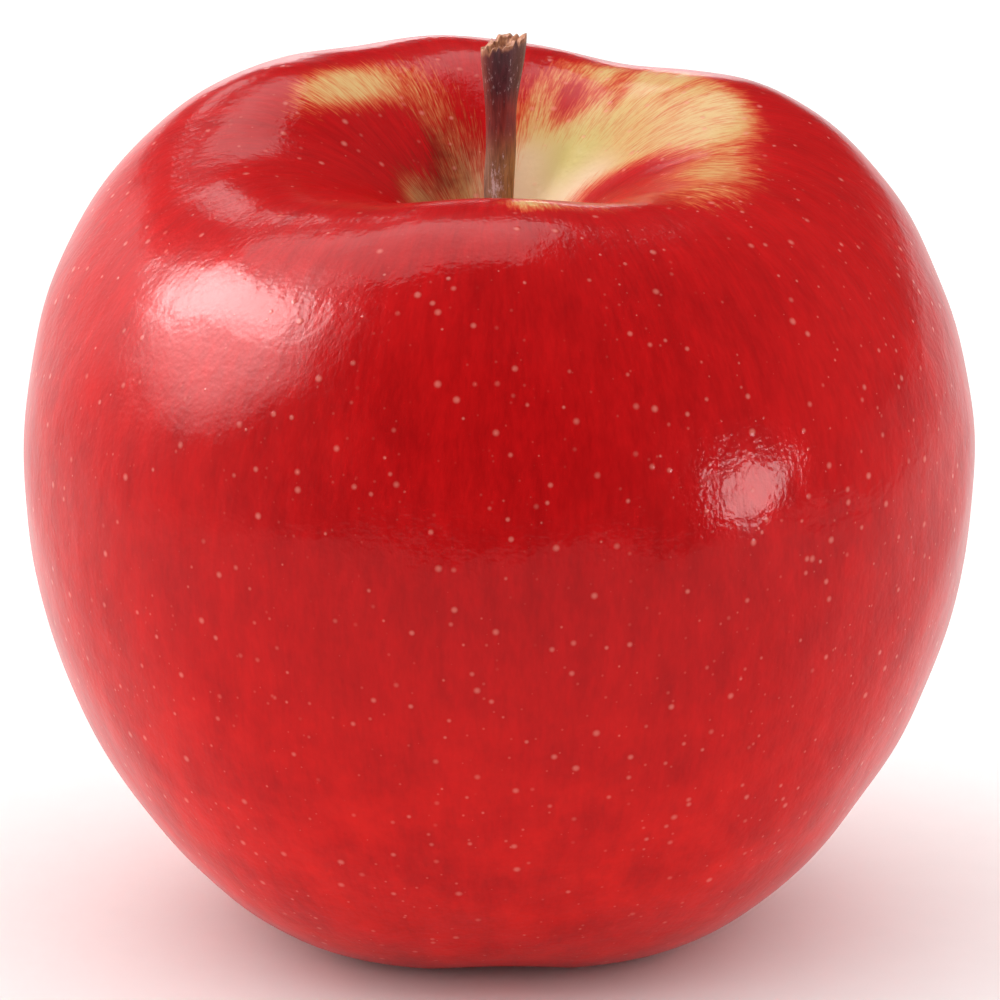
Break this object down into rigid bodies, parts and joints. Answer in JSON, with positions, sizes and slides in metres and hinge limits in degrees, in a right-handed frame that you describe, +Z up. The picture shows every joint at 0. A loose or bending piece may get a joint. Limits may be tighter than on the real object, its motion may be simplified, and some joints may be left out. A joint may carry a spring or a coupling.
{
  "type": "fresh red apple",
  "caption": "Whole red apple with softly lobed shoulders, a stalk cavity with a short woody stalk, and a calyx basin with dried sepals below.",
  "frame": {"origin": "on the surface that the fruit rests on, under the middle of the fruit's bounding box", "axes": "+Z up along the core line from the calyx to the stalk, -Y towards the front of the fruit, +X to the viewer's right when looking at the front"},
  "size_m": [0.08, 0.08, 0.0767],
  "materials": {
    "skin": "naturally waxed red fruit skin, glossy, with pale dots and fine streaks",
    "stalk": "woody stalk with thin brown to olive bark and a torn pale tip",
    "dried_flower": "dry, papery brown sepals and stamens, matt"
  },
  "bodies": {
    "root": {"fruit": "skin", "stem": "stalk", "sepal_1": "dried_flower", "sepal_2": "dried_flower", "sepal_3": "dried_flower", "sepal_4": "dried_flower", "sepal_5": "dried_flower", "flower_tuft": "dried_flower"}
  },
  "joints": []
}
